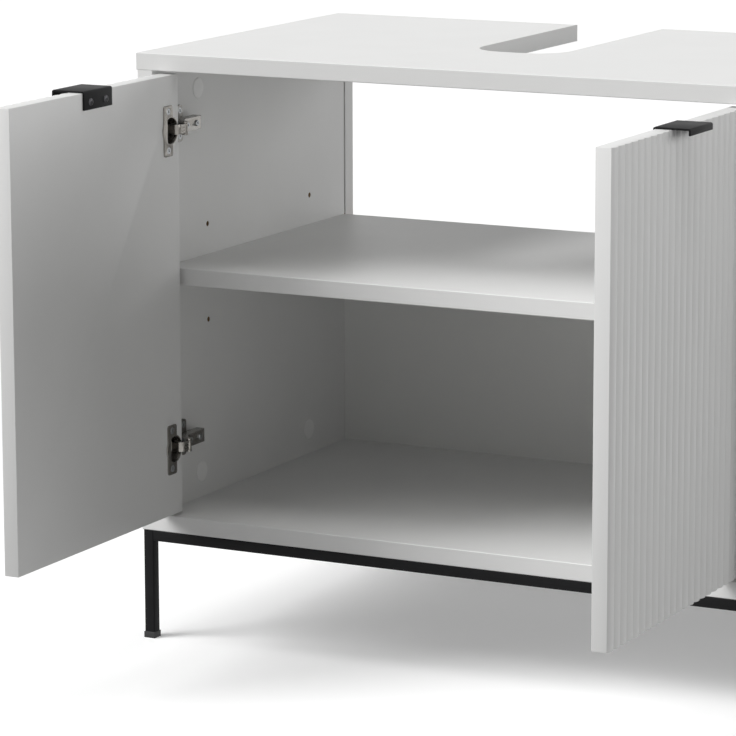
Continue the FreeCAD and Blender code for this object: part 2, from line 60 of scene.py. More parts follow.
# ---- colours and nodes ----
def colour(code):
    """An sRGB hex code as the linear colour that the shaders use."""
    levels = [int(code[i:i + 2], 16) / 255 for i in (0, 2, 4)]
    return tuple(v / 12.92 if v <= 0.04045 else ((v + 0.055) / 1.055) ** 2.4 for v in levels) + (1.0,)


def add(tree, kind, inputs=None, **settings):
    """Adds a node. Inputs are values, or the sockets that feed them."""
    node = tree.nodes.new(kind)
    for name, value in settings.items():
        setattr(node, name, value)
    for key, value in (inputs or {}).items():
        if isinstance(value, bpy.types.NodeSocket):
            tree.links.new(value, node.inputs[key])
        else:
            node.inputs[key].default_value = value
    return node


def new_finish(name):
    finish = bpy.data.materials.new(name)
    finish.use_nodes = True
    finish.node_tree.nodes.clear()
    return finish, finish.node_tree


def close_finish(tree, shader):
    add(tree, "ShaderNodeOutputMaterial", {"Surface": shader.outputs[0]})


# how far a noise strays from its middle, for a soft and for a clear pattern
SOFT = (0.35, 0.65)
CLEAR = (0.3, 0.7)


def mottled(tree, tone, pattern, spread, darkest, lightest=1.0):
    """The tone times a shade that follows the pattern across its spread."""
    shade = add(tree, "ShaderNodeMapRange", {"Value": pattern.outputs[0], "From Min": spread[0],
                                             "From Max": spread[1], "To Min": darkest, "To Max": lightest})
    return add(tree, "ShaderNodeMix", {"Factor": 1.0, "A": tone, "B": shade.outputs[0]},
               data_type="RGBA", blend_type="MULTIPLY").outputs["Result"]


def surfaced(finish, face, rough, relief, strength, depth, more):
    """Ends a finish: the relief as bump, depth in millimetres, then the shader and its output."""
    tree = finish.node_tree
    bump = add(tree, "ShaderNodeBump", {"Height": relief.outputs[0], "Strength": strength,
                                        "Distance": depth * MM})
    shader = add(tree, "ShaderNodeBsdfPrincipled", {"Base Color": face, "Roughness": rough,
                                                    "Normal": bump.outputs[0], **more})
    close_finish(tree, shader)
    return finish


# ---- sizes and colours that a user would change ----
class CabinetFinishes(bpy.types.PropertyGroup):
    board: bpy.props.FloatVectorProperty(
        name="Board", description="Melamine face of the carcass boards",
        subtype="COLOR", size=4, min=0, max=1, default=colour("E6E6E5"))
    foil: bpy.props.FloatVectorProperty(
        name="Door foil", description="Satin foil over the fluted doors",
        subtype="COLOR", size=4, min=0, max=1, default=colour("E6E6E5"))
    steel: bpy.props.FloatVectorProperty(
        name="Steel coat", description="Powder coat of the base frame and the handles",
        subtype="COLOR", size=4, min=0, max=1, default=colour("161617"))
    # the hinges' nickel is darker than bright plating: painted shade, standing for the dark cabinet inside that
    # the hinges reflect
    nickel: bpy.props.FloatVectorProperty(
        name="Nickel", description="Plating of the hinges",
        subtype="COLOR", size=4, min=0, max=1, default=colour("908D88"))


class CabinetSizes(bpy.types.PropertyGroup):
    tube_corner: bpy.props.FloatProperty(
        name="Tube corner", description="Outer corner radius of the square tube",
        unit="LENGTH", default=1.3 * MM, min=0.2 * MM, max=3 * MM)
    handle_bend: bpy.props.FloatProperty(
        name="Handle bend", description="Outer bend radius of the handle's sheet",
        unit="LENGTH", default=2.0 * MM, min=1.9 * MM, max=4 * MM)
    rib_height: bpy.props.FloatProperty(
        name="Rib height", description="Crown above valley on the fluted doors",
        unit="LENGTH", default=2.2 * MM, min=0.5 * MM, max=4 * MM)
    rib_count: bpy.props.IntProperty(
        name="Ribs", description="Ribs across one door", default=22, min=1, max=60)


class CabinetLight(bpy.types.PropertyGroup):
    ambient: bpy.props.FloatProperty(
        name="Ambient", description="Even light of the room", default=0.03, min=0, max=2)
    key: bpy.props.FloatProperty(
        name="Key", description="Soft light from the left, in front", default=2.0, min=0, max=10)
    high: bpy.props.FloatProperty(
        name="High", description="Soft light above the key", default=1.1, min=0, max=10)
    overhead: bpy.props.FloatProperty(
        name="Overhead", description="Soft light from above", default=0.55, min=0, max=10)
    side: bpy.props.FloatProperty(
        name="Side", description="Low soft light from the right", default=0.55, min=0, max=10)
    rim: bpy.props.FloatProperty(
        name="Rim", description="Low light from the right, behind, across the ribs",
        default=0.5, min=0, max=10)


# ---- finishes ----
def melamine_board(name, facing=None):
    """Melamine-faced chipboard. Its cut core shows if facing, the axis through it, is given."""
    # Printed paper pressed in melamine resin, matt with a fine pearl that breaks up the gloss.
    # Where the board is cut and not edge banded, its pressed wood chips show.
    finish, tree = new_finish(name)
    tone = bpy.context.scene.cabinet_finishes.board
    place = add(tree, "ShaderNodeTexCoord").outputs["Object"]
    axes = add(tree, "ShaderNodeSeparateXYZ", {0: place})
    # pearl grains of 0.7 mm, coarser than the real 0.2 mm so that they show
    pearl = add(tree, "ShaderNodeTexNoise", {"Vector": place, "Scale": 1 / (0.7 * MM), "Detail": 2.0})
    cloud = add(tree, "ShaderNodeTexNoise", {"Vector": place, "Scale": 1 / (60 * MM), "Detail": 3.0})
    face = mottled(tree, tone, cloud, SOFT, 0.985)
    rough = 0.46
    if facing is not None:
        raw = raw_core(tree, axes, facing)
        mixed = add(tree, "ShaderNodeMix", {"Factor": raw, "A": face, "B": chip_core(tree, place)},
                    data_type="RGBA")
        face = mixed.outputs["Result"]
        rough = add(tree, "ShaderNodeMapRange", {"Value": raw, "To Min": rough, "To Max": 0.9}).outputs[0]
    lined = add(tree, "ShaderNodeMix", {"Factor": band_seam(tree, axes), "A": face,
                                        "B": colour("B9B9B7")}, data_type="RGBA")
    return surfaced(finish, lined.outputs["Result"], rough, pearl, 0.12, 0.05, {"IOR": 1.5})


def chip_core(tree, place):
    """Pressed wood: chips of about 4 mm, from brown to straw, with dust of 1 mm."""
    chips = add(tree, "ShaderNodeTexVoronoi", {"Vector": place, "Scale": 1 / (3.6 * MM), "Randomness": 1.0})
    browns = add(tree, "ShaderNodeValToRGB", {0: chips.outputs["Color"]})
    browns.color_ramp.elements[0].color = colour("8F6D47")
    browns.color_ramp.elements[1].color = colour("C9AE86")
    dust = add(tree, "ShaderNodeTexNoise", {"Vector": place, "Scale": 1 / (1.0 * MM), "Detail": 4.0})
    return mottled(tree, browns.outputs[0], dust, CLEAR, 0.72)


def raw_core(tree, axes, facing):
    """1 where the board's cut core shows: bores, and edges that carry no band."""
    low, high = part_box({0: "left_side_panel", 2: "bottom_panel"}[facing])
    front = low.y + 1.2 * MM
    level = add(tree, "ShaderNodeMath", {0: axes.outputs[facing]}, operation="ABSOLUTE")
    skin = 0.25 * MM
    if facing == 0:
        inner, outer = -high.x + skin, -low.x - skin
    else:
        inner, outer = low.z + skin, high.z - skin
    above = add(tree, "ShaderNodeMath", {0: level.outputs[0], 1: inner}, operation="GREATER_THAN")
    below = add(tree, "ShaderNodeMath", {0: level.outputs[0], 1: outer}, operation="LESS_THAN")
    behind = add(tree, "ShaderNodeMath", {0: axes.outputs[1], 1: front}, operation="GREATER_THAN")
    inside = add(tree, "ShaderNodeMath", {0: above.outputs[0], 1: below.outputs[0]}, operation="MULTIPLY")
    cut = add(tree, "ShaderNodeMath", {0: inside.outputs[0], 1: behind.outputs[0]}, operation="MULTIPLY")
    if facing == 0:
        return unpainted(tree, axes, cut)
    # the bottom panel's two ends carry bands too
    aside = add(tree, "ShaderNodeMath", {0: axes.outputs[0]}, operation="ABSOLUTE")
    between = add(tree, "ShaderNodeMath", {0: aside.outputs[0], 1: high.x - 1.2 * MM}, operation="LESS_THAN")
    return add(tree, "ShaderNodeMath", {0: cut.outputs[0], 1: between.outputs[0]},
               operation="MULTIPLY").outputs[0]


def unpainted(tree, axes, cut):
    """Keeps the core white in the back panel's groove above the shelf, where it is primed."""
    low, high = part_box("back_panel")
    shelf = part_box("shelf")[1].z
    over = add(tree, "ShaderNodeMath", {0: axes.outputs[2], 1: shelf}, operation="GREATER_THAN")
    band = add(tree, "ShaderNodeMath", {0: axes.outputs[1], 1: (low.y + high.y) / 2, 2: 2.5 * MM},
               operation="COMPARE")
    primed = add(tree, "ShaderNodeMath", {0: over.outputs[0], 1: band.outputs[0]}, operation="MULTIPLY")
    return add(tree, "ShaderNodeMath", {0: cut.outputs[0], 1: primed.outputs[0]}, operation="SUBTRACT",
               use_clamp=True).outputs[0]


def band_seam(tree, axes):
    """The hair line where the 0.8 mm edge band meets the face, drawn 0.3 mm wide so that it shows."""
    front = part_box("top_panel")[0].y + 0.95 * MM
    line = add(tree, "ShaderNodeMath", {0: axes.outputs[1], 1: front, 2: 0.15 * MM}, operation="COMPARE")
    return add(tree, "ShaderNodeMath", {0: line.outputs[0], 1: 0.35}, operation="MULTIPLY").outputs[0]


def lacquered_hardboard():
    """Thin fibreboard, lacquered white on its front and bare behind."""
    # The bare side is brown with the wire-screen weave that the press leaves on it.
    finish, tree = new_finish("lacquered_hardboard")
    place = add(tree, "ShaderNodeTexCoord").outputs["Object"]
    axes = add(tree, "ShaderNodeSeparateXYZ", {0: place})
    low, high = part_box("back_panel")
    bare = add(tree, "ShaderNodeMath", {0: axes.outputs[1], 1: high.y - 0.2 * MM}, operation="GREATER_THAN")
    fibre = add(tree, "ShaderNodeTexNoise", {"Vector": place, "Scale": 1 / (2.0 * MM), "Detail": 6.0})
    brown = add(tree, "ShaderNodeValToRGB", {0: fibre.outputs[0]})
    brown.color_ramp.elements[0].position = 0.3
    brown.color_ramp.elements[0].color = colour("6E4B2E")
    brown.color_ramp.elements[1].position = 0.7
    brown.color_ramp.elements[1].color = colour("93693F")
    tone = add(tree, "ShaderNodeMix", {"Factor": bare.outputs[0], "A": colour("ECECEA"),
                                       "B": brown.outputs[0]}, data_type="RGBA")
    # the node's sine makes its bands 2 pi times this 1.6 mm wide, coarser than the real screen
    weave = add(tree, "ShaderNodeTexWave", {"Vector": place, "Scale": 1 / (1.6 * MM) / 20, "Distortion": 0.4},
                bands_direction="Z")
    rough = add(tree, "ShaderNodeMapRange", {"Value": bare.outputs[0], "To Min": 0.4, "To Max": 0.85})
    return surfaced(finish, tone.outputs["Result"], rough.outputs[0], weave, 0.15, 0.05, {"IOR": 1.5})


def satin_foil():
    """White foil pressed over milled fibreboard."""
    # Vinyl foil drawn over the ribs by vacuum: satin, with the faint orange peel of its glue film.
    finish, tree = new_finish("satin_foil")
    place = add(tree, "ShaderNodeTexCoord").outputs["Object"]
    tone = bpy.context.scene.cabinet_finishes.foil
    # orange peel of 2.5 mm, and foil grain of 0.5 mm drawn coarser than the real 0.1 mm
    peel = add(tree, "ShaderNodeTexNoise", {"Vector": place, "Scale": 1 / (2.5 * MM), "Detail": 1.0})
    grain = add(tree, "ShaderNodeTexNoise", {"Vector": place, "Scale": 1 / (0.5 * MM), "Detail": 1.0})
    height = add(tree, "ShaderNodeMath", {0: grain.outputs[0], 1: 0.4, 2: peel.outputs[0]},
                 operation="MULTIPLY_ADD")
    cloud = add(tree, "ShaderNodeTexNoise", {"Vector": place, "Scale": 1 / (80 * MM), "Detail": 2.0})
    face = mottled(tree, tone, cloud, SOFT, 0.985)
    rough = add(tree, "ShaderNodeMapRange", {"Value": peel.outputs[0], "To Min": 0.34, "To Max": 0.44})
    return surfaced(finish, face, rough.outputs[0], height, 0.06, 0.05, {"IOR": 1.52})


def powder_coat(name, grain_mm, roughness):
    """Black powder coat, baked on steel."""
    # Baked polyester powder: a fine orange peel that spreads the highlight along the edges.
    finish, tree = new_finish(name)
    tone = bpy.context.scene.cabinet_finishes.steel
    place = add(tree, "ShaderNodeTexCoord").outputs["Object"]
    peel = add(tree, "ShaderNodeTexNoise", {"Vector": place, "Scale": 1 / (grain_mm * MM), "Detail": 3.0})
    dust = add(tree, "ShaderNodeTexNoise", {"Vector": place, "Scale": 1 / (14 * MM), "Detail": 5.0})
    face = mottled(tree, tone, dust, CLEAR, 0.86, 1.1)
    rough = add(tree, "ShaderNodeMapRange", {"Value": peel.outputs[0], "To Min": roughness - 0.08,
                                             "To Max": roughness + 0.08})
    return surfaced(finish, face, rough.outputs[0], peel, 0.25, 0.05,
                    {"IOR": 1.5, "Specular IOR Level": 0.12})


def plated_steel(name, tone, roughness, stretch=(1, 1, 1)):
    """Pressed or cast metal with a bright plating."""
    # Electroplate follows the rolling lines of the sheet below, which smear the reflections one way.
    finish, tree = new_finish(name)
    place = add(tree, "ShaderNodeTexCoord").outputs["Object"]
    lines = add(tree, "ShaderNodeMapping", {"Vector": place, "Scale": stretch})
    rolled = add(tree, "ShaderNodeTexNoise", {"Vector": lines.outputs[0], "Scale": 1 / (0.5 * MM),
                                              "Detail": 3.0})
    stain = add(tree, "ShaderNodeTexNoise", {"Vector": place, "Scale": 1 / (6 * MM), "Detail": 3.0})
    face = mottled(tree, tone, stain, CLEAR, 0.9)
    rough = add(tree, "ShaderNodeMapRange", {"Value": rolled.outputs[0], "From Min": 0.3, "From Max": 0.7,
                                             "To Min": roughness - 0.03, "To Max": roughness + 0.05})
    return surfaced(finish, face, rough.outputs[0], rolled, 0.05, 0.03, {"Metallic": 1.0})


def moulded_plastic(name, tone):
    """Injection-moulded plastic with a spark-eroded mould texture."""
    # The mould's fine matt texture of about 0.4 mm dulls the gloss evenly.
    finish, tree = new_finish(name)
    place = add(tree, "ShaderNodeTexCoord").outputs["Object"]
    spark = add(tree, "ShaderNodeTexNoise", {"Vector": place, "Scale": 1 / (0.4 * MM), "Detail": 2.0})
    face = mottled(tree, tone, spark, CLEAR, 0.95)
    return surfaced(finish, face, 0.48, spark, 0.15, 0.04, {"IOR": 1.5})


def turned_beech():
    """Beech turned to a dowel, with its grain along the height."""
    # Pale pinkish wood with short dark flecks 3 mm long.
    finish, tree = new_finish("turned_beech")
    place = add(tree, "ShaderNodeTexCoord").outputs["Object"]
    lines = add(tree, "ShaderNodeMapping", {"Vector": place, "Scale": (1.0, 1.0, 0.15)})
    fleck = add(tree, "ShaderNodeTexNoise", {"Vector": lines.outputs[0], "Scale": 1 / (0.6 * MM),
                                             "Detail": 4.0})
    wood = add(tree, "ShaderNodeValToRGB", {0: fleck.outputs[0]})
    wood.color_ramp.elements[0].position = 0.35
    wood.color_ramp.elements[0].color = colour("A87C52")
    wood.color_ramp.elements[1].position = 0.6
    wood.color_ramp.elements[1].color = colour("D9B98F")
    shader = add(tree, "ShaderNodeBsdfPrincipled", {"Base Color": wood.outputs[0], "Roughness": 0.6,
                                                    "IOR": 1.5})
    close_finish(tree, shader)
    return finish


def give(node, finish):
    """A CAD node that stays takes the finish in its own slots."""
    mesh = frame["nodes"][node].data
    mesh.materials.clear()
    mesh.materials.append(finish)


# ---- modelling by hand ----
def at(x, y, z):
    """A place in millimetres, in metres."""
    return Vector((x, y, z)) * MM


def only(piece):
    bpy.ops.object.select_all(action="DESELECT")
    piece.select_set(True)
    bpy.context.view_layer.objects.active = piece


def into_edit(piece, kind="VERT"):
    only(piece)
    bpy.ops.object.mode_set(mode="EDIT")
    bpy.ops.mesh.select_mode(type=kind)


def out_of_edit():
    bpy.ops.object.mode_set(mode="OBJECT")


def faces_out():
    """Turns all faces of the edited piece outwards, and leaves edit mode."""
    bpy.ops.mesh.select_all(action="SELECT")
    bpy.ops.mesh.normals_make_consistent(inside=False)
    out_of_edit()


def pick(piece, kind, wanted):
    """In edit mode, selects the corners, edges or faces that are wanted, and nothing else."""
    into_edit(piece, kind)
    bpy.ops.mesh.select_all(action="DESELECT")
    shape = bmesh.from_edit_mesh(piece.data)
    for item in {"VERT": shape.verts, "EDGE": shape.edges, "FACE": shape.faces}[kind]:
        if wanted(item):
            item.select = True
    shape.select_flush_mode()
    bmesh.update_edit_mesh(piece.data)


def settled(name):
    """The piece just made, with its transform applied and its name given."""
    bpy.ops.object.transform_apply(location=True, rotation=True, scale=True)
    piece = bpy.context.object
    piece.name = name
    return piece


def block(name, low, high):
    """A cuboid between two corners, for its caller to shape."""
    bpy.ops.object.select_all(action="DESELECT")
    middle = (Vector(low) + Vector(high)) / 2
    bpy.ops.mesh.primitive_cube_add(size=1, location=middle, scale=Vector(high) - Vector(low))
    return settled(name)


def round_bar(name, radius, start, end, sides=32):
    """A cylinder between two points, for its caller to shape."""
    bpy.ops.object.select_all(action="DESELECT")
    run = Vector(end) - Vector(start)
    turn = run.to_track_quat("Z", "Y").to_euler()
    bpy.ops.mesh.primitive_cylinder_add(vertices=sides, radius=radius, depth=run.length,
                                        location=(Vector(start) + Vector(end)) / 2, rotation=turn)
    return settled(name)


def drawn_line(name, points):
    """One corner extruded from point to point. It leaves the piece in edit mode, all selected."""
    bpy.ops.object.select_all(action="DESELECT")
    bpy.ops.mesh.primitive_plane_add(size=MM, location=points[0])
    piece = settled(name)
    into_edit(piece)
    bpy.ops.mesh.select_all(action="SELECT")
    bpy.ops.mesh.merge(type="CENTER")
    for here, there in zip(points, points[1:]):
        step = Vector(there) - Vector(here)
        bpy.ops.mesh.extrude_region_move(TRANSFORM_OT_translate={"value": step})
    bpy.ops.mesh.select_all(action="SELECT")
    return piece


def raised(name, outline, step):
    """A closed outline, filled and extruded by the step."""
    piece = drawn_line(name, outline)
    bpy.ops.mesh.select_all(action="DESELECT")
    shape = bmesh.from_edit_mesh(piece.data)
    for corner in shape.verts:
        if len(corner.link_edges) == 1:
            corner.select = True
    bmesh.update_edit_mesh(piece.data)
    bpy.ops.mesh.edge_face_add()
    bpy.ops.mesh.select_all(action="SELECT")
    bpy.ops.mesh.edge_face_add()
    bpy.ops.mesh.extrude_region_move(TRANSFORM_OT_translate={"value": step})
    faces_out()
    return piece


def turned(name, profile, base, along, steps=32):
    """A profile of (radius, height) turned about the line through base, as on a lathe."""
    along = Vector(along).normalized()
    out = along.orthogonal().normalized()
    piece = drawn_line(name, [Vector(base) + out * r + along * h for r, h in profile])
    bpy.ops.mesh.spin(steps=steps, angle=2 * math.pi, center=base, axis=along)
    bpy.ops.mesh.select_all(action="SELECT")
    bpy.ops.mesh.remove_doubles(threshold=0.001 * MM)
    faces_out()
    return piece


def with_modifier(piece, kind, **settings):
    """Adds a modifier with its settings and applies it."""
    only(piece)
    change = piece.modifiers.new(kind.lower(), kind)
    for name, value in settings.items():
        setattr(change, name, value)
    bpy.ops.object.modifier_apply(modifier=change.name)
    return piece


def softened(piece, width, angle=35, segments=2):
    """Breaks the edges that are sharper than the angle."""
    return with_modifier(piece, "BEVEL", width=width, segments=segments, limit_method="ANGLE",
                         angle_limit=math.radians(angle), use_clamp_overlap=True, harden_normals=False)


def carved(piece, tool, operation="DIFFERENCE"):
    """Cuts the tool from the piece, or joins it, and clears the tool away."""
    with_modifier(piece, "BOOLEAN", operation=operation, object=tool, solver="EXACT")
    bpy.data.objects.remove(tool, do_unlink=True)
    return piece


# two corners closer than this share a level
NEAR = 0.01 * MM


def reach(edge, axis):
    """How far an edge runs along an axis."""
    return abs(edge.verts[0].co[axis] - edge.verts[1].co[axis])


def bevelled(piece, width, segments, wanted):
    """Bevels the wanted edges."""
    pick(piece, "EDGE", wanted)
    bpy.ops.mesh.bevel(offset=width, segments=segments, affect="EDGES", clamp_overlap=True)
    out_of_edit()


def joined(name, pieces):
    bpy.ops.object.select_all(action="DESELECT")
    for piece in pieces:
        piece.select_set(True)
    bpy.context.view_layer.objects.active = pieces[0]
    bpy.ops.object.join()
    pieces[0].name = name
    return pieces[0]


def copied(piece, name, step=(0, 0, 0)):
    """A copy with its own mesh, moved by the step."""
    only(piece)
    bpy.ops.object.duplicate(linked=False)
    copy = bpy.context.object
    copy.location = copy.location + Vector(step)
    return settled(name)


def other_side(piece, name):
    """The piece's mirror image on the right side, with its faces turned out again."""
    only(piece)
    bpy.ops.object.duplicate(linked=False)
    bpy.context.object.scale = (-1, 1, 1)
    copy = settled(name)
    into_edit(copy, "FACE")
    faces_out()
    return copy


def dress(piece, body, finish, slot, *nodes):
    """The finished piece takes its finish, rides on its body and stands for the nodes. slot is not used."""
    only(piece)
    piece.data.materials.clear()
    piece.data.materials.append(finish)
    bpy.ops.object.shade_smooth_by_angle(angle=math.radians(32))
    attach(piece, body)
    if nodes:
        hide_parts(*nodes)


def both_sides(piece, kind, body, finish, slot, node):
    """Dresses the left piece and its mirror image. The names' side is added here."""
    mirror = other_side(piece, "right_" + kind)
    for side, one in zip(SIDES, (piece, mirror)):
        dress(one, side + "_" + body if body != "carcass" else body, finish, slot, side + "_" + node)


# ---- pieces ----
class CABINET_OT_boards(bpy.types.Operator):
    """Gives the carcass boards, the shelf and the back their faces and cut edges"""
    bl_idname = "cabinet.boards"
    bl_label = "Carcass boards"

    def execute(self, context):
        upright = melamine_board("melamine_upright", 0)
        lying = melamine_board("melamine_lying", 2)
        banded = melamine_board("melamine_banded")
        for node, finish in (("top_panel", banded), ("shelf", banded), ("bottom_panel", lying),
                             ("left_side_panel", upright), ("right_side_panel", upright)):
            give(node, finish)
        give("back_panel", lacquered_hardboard())
        return {"FINISHED"}


class CABINET_OT_fittings(bpy.types.Operator):
    """Finishes the cams, bolts, dowels and shelf pins inside the boards"""
    bl_idname = "cabinet.fittings"
    bl_label = "Joint fittings"

    def execute(self, context):
        cast = plated_steel("cast_zinc", colour("B4B3B0"), 0.4)
        give("cams", cast)
        give("cam_bolts", plated_steel("zinc_plated_bolt", colour("C4C6C8"), 0.34, (1, 1, 0.2)))
        give("dowels", turned_beech())
        give("shelf_pins", plated_steel("nickel_pin", colour("C6C2BB"), 0.3, (0.2, 1, 1)))
        return {"FINISHED"}


class CABINET_OT_covers(bpy.types.Operator):
    """Models the domed caps over the cam locks"""
    bl_idname = "cabinet.covers"
    bl_label = "Cam covers"

    def execute(self, context):
        low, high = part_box("cam_covers")
        radius = 9.8 * MM
        face = low.x
        profile = [(0, 1.0 * MM), (5.2 * MM, 0.98 * MM), (8.6 * MM, 0.86 * MM), (9.35 * MM, 0.66 * MM),
                   (9.72 * MM, 0.34 * MM), (radius, 0), (0, 0)]
        spots = [(y, z) for y in (low.y + radius, high.y - radius) for z in (low.z + radius, high.z - radius)]
        first = turned("cam_covers_domed", profile, (face, spots[0][0], spots[0][1]), (1, 0, 0), 48)
        caps = [first]
        for y, z in spots[1:]:
            caps.append(copied(first, "cap", (0, y - spots[0][0], z - spots[0][1])))
        caps += [other_side(cap, "cap") for cap in list(caps)]
        covers = joined("cam_covers_domed", caps)
        dress(covers, "carcass", moulded_plastic("white_cap", colour("F4F4F3")), "white_cover", "cam_covers")
        return {"FINISHED"}


class CABINET_OT_doors(bpy.types.Operator):
    """Models the fluted doors with their bores for the hinge cups"""
    bl_idname = "cabinet.doors"
    bl_label = "Fluted doors"

    def execute(self, context):
        sizes = context.scene.cabinet_sizes
        low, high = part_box("left_door")
        pitch = (high.y - low.y) / sizes.rib_count
        rise = sizes.rib_height
        bend = pitch * pitch / (8 * rise) + rise / 2
        sweep = 2 * math.asin(pitch / 2 / bend)
        valley = low.x + rise
        door = drawn_line("left_door_fluted", [Vector((valley, low.y, low.z))])
        bpy.ops.mesh.spin(steps=14, angle=sweep, center=(low.x + bend, low.y + pitch / 2, low.z),
                          axis=(0, 0, 1))
        out_of_edit()
        with_modifier(door, "ARRAY", count=sizes.rib_count, use_relative_offset=False,
                      use_constant_offset=True, constant_offset_displace=(0, pitch, 0),
                      use_merge_vertices=True, merge_threshold=0.01 * MM)
        ends = (low.y, high.y)
        pick(door, "VERT", lambda v: min(abs(v.co.y - end) for end in ends) < NEAR)
        bpy.ops.mesh.extrude_region_move(TRANSFORM_OT_translate={"value": (high.x - valley, 0, 0)})
        bpy.ops.mesh.edge_face_add()
        bpy.ops.mesh.select_all(action="SELECT")
        bpy.ops.mesh.edge_face_add()
        bpy.ops.mesh.extrude_region_move(TRANSFORM_OT_translate={"value": (0, 0, high.z - low.z)})
        faces_out()
        levels = (low.z, high.z)
        bevelled(door, 0.4 * MM, 2, lambda e: reach(e, 2) < NEAR
                 and min(abs(e.verts[0].co.z - level) for level in levels) < NEAR)
        bevelled(door, 0.5 * MM, 2, lambda e: reach(e, 2) > 100 * MM and e.verts[0].co.x > high.x - NEAR)
        for centre in hinge_levels():
            mouth = cup_mouth(centre)
            carved(door, round_bar("bore", BORE, mouth + at(1, 0, 0), mouth - at(11.6, 0, 0), 48))
        both_sides(door, "door_fluted", "door", satin_foil(), "white_fluted", "door")
        return {"FINISHED"}


class CABINET_OT_handles(bpy.types.Operator):
    """Models the handles, bent from one sheet over the doors' upper edges, and their screws"""
    bl_idname = "cabinet.handles"
    bl_label = "Handles"

    def execute(self, context):
        low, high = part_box("left_handle")
        sheet = 1.8 * MM
        half = sheet / 2
        lip = 6 * MM
        bend = context.scene.cabinet_sizes.handle_bend - half
        handle = drawn_line("left_handle_bent", [Vector((high.x - half, low.y, low.z)),
                                                 Vector((high.x - half, low.y, high.z - half)),
                                                 Vector((low.x + half, low.y, high.z - half)),
                                                 Vector((low.x + half, low.y, high.z - lip))])
        bpy.ops.mesh.extrude_region_move(TRANSFORM_OT_translate={"value": (0, high.y - low.y, 0)})
        out_of_edit()
        bevelled(handle, bend, 6, lambda e: reach(e, 1) > 10 * MM
                 and e.verts[0].co.z > high.z - 1.5 * half)
        hems = (low.z, high.z - lip)
        pick(handle, "VERT", lambda v: min(abs(v.co.z - hem) for hem in hems) < NEAR)
        bpy.ops.mesh.bevel(offset=0.6 * MM, segments=3, affect="VERTICES")
        faces_out()
        with_modifier(handle, "SOLIDIFY", thickness=sheet, offset=0, use_even_offset=True)
        softened(handle, 0.25 * MM, 50)
        both_sides(handle, "handle_bent", "door", powder_coat("fine_powder_coat", 0.5, 0.55),
                   "black_handle", "handle")
        self.screws()
        return {"FINISHED"}

    def screws(self):
        low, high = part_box("left_handle_screws")
        radius = 3.4 * MM
        dome = 1.5 * MM
        seat = high.x - dome
        profile = [(0, dome), (1.6 * MM, 1.42 * MM), (2.6 * MM, 1.1 * MM), (3.2 * MM, 0.6 * MM), (radius, 0),
                   (1.75 * MM, 0), (1.75 * MM, low.x - seat), (0, low.x - seat)]
        base = Vector((seat, low.y + radius, (low.z + high.z) / 2))
        screw = turned("left_handle_screws_button", profile, base, (1, 0, 0), 32)
        recess(screw, base + Vector((dome, 0, 0)), (1, 0, 0), 3.2 * MM, 1.2 * MM)
        twin = copied(screw, "twin", (0, high.y - low.y - 2 * radius, 0))
        screws = joined("left_handle_screws_button", [screw, twin])
        both_sides(screws, "handle_screws_button", "door",
                   plated_steel("blackened_screw", colour("4A4A4C"), 0.3), "black_screw",
                   "handle_screws")


def recess(piece, top, along, span, depth):
    """Cuts a cross recess into a screw's head."""
    along = Vector(along)
    first = along.orthogonal().normalized()
    second = along.cross(first)
    for way, side in ((first, second), (second, first)):
        corners = [top + along * 0.2 * MM + way * a * span / 2 + side * b * span / 9
                   for a, b in ((1, 1), (-1, 1), (-1, -1), (1, -1))]
        wing = raised("wing", corners, -along * (depth + 0.2 * MM))
        carved(piece, wing)


class CABINET_OT_base(bpy.types.Operator):
    """Models the base frame of square tube with its rolled corners, and finishes its screws"""
    bl_idname = "cabinet.base"
    bl_label = "Base frame"

    def execute(self, context):
        corner = context.scene.cabinet_sizes.tube_corner
        coat = powder_coat("powder_coat", 0.8, 0.5)
        rails = {"base_front_rail": 0, "base_rear_rail": 0, "base_left_rail": 1, "base_right_rail": 1}
        legs = {name + "_leg": 2 for name in ("front_left", "front_right", "rear_left", "rear_right")}
        for node, axis in {**rails, **legs}.items():
            low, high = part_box(node)
            bar = block(node + "_rolled", low, high)
            length = high[axis] - low[axis]
            bevelled(bar, corner, 4, lambda e: reach(e, axis) > length / 2)
            dress(bar, "carcass", coat, "black_steel", node)
        give("frame_screws", plated_steel("blackened_frame_screw", colour("4A4A4C"), 0.35))
        return {"FINISHED"}


class CABINET_OT_feet(bpy.types.Operator):
    """Models the plastic shoes under the legs"""
    bl_idname = "cabinet.feet"
    bl_label = "Feet"

    def execute(self, context):
        plastic = moulded_plastic("black_shoe", colour("232324"))
        for corner in ("front_left", "front_right", "rear_left", "rear_right"):
            node = corner + "_foot"
            low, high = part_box(node)
            top = low.z + 6 * MM
            shoe = block(node + "_shoe", low, (high.x, high.y, top))
            pick(shoe, "FACE", lambda f: f.normal.z > 0.9)
            bpy.ops.mesh.inset(thickness=0.55 * MM, depth=0)
            bpy.ops.mesh.extrude_region_move(TRANSFORM_OT_translate={"value": (0, 0, -3 * MM)})
            out_of_edit()
            softened(shoe, 0.7 * MM, 50, 3)
            dress(shoe, "carcass", plastic, "black_plastic", node)
        return {"FINISHED"}


# ---- hinges: the left upper one is modelled, then copied down and across ----
FLANGE = 47 * MM   # length of the cup's flange along the door
RIM = 13.5 * MM    # radius of the cup's rim, which lies on the door
CUP = 13 * MM      # radius of the cup's shell
BORE = 13.1 * MM   # radius of the door's bore around it
SEAT = 3.42 * MM   # radius of a countersunk screw's seat


def hinge_levels():
    """Heights of the left door's hinges, the upper one first."""
    low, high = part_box("left_hinge_cups")
    return (high.z - FLANGE / 2, low.z + FLANGE / 2)


def cup_mouth(level):
    """Centre of the cup's mouth on the open left door's inner face."""
    low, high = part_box("left_hinge_cups")
    return Vector((high.x - MM, low.y + RIM, level))


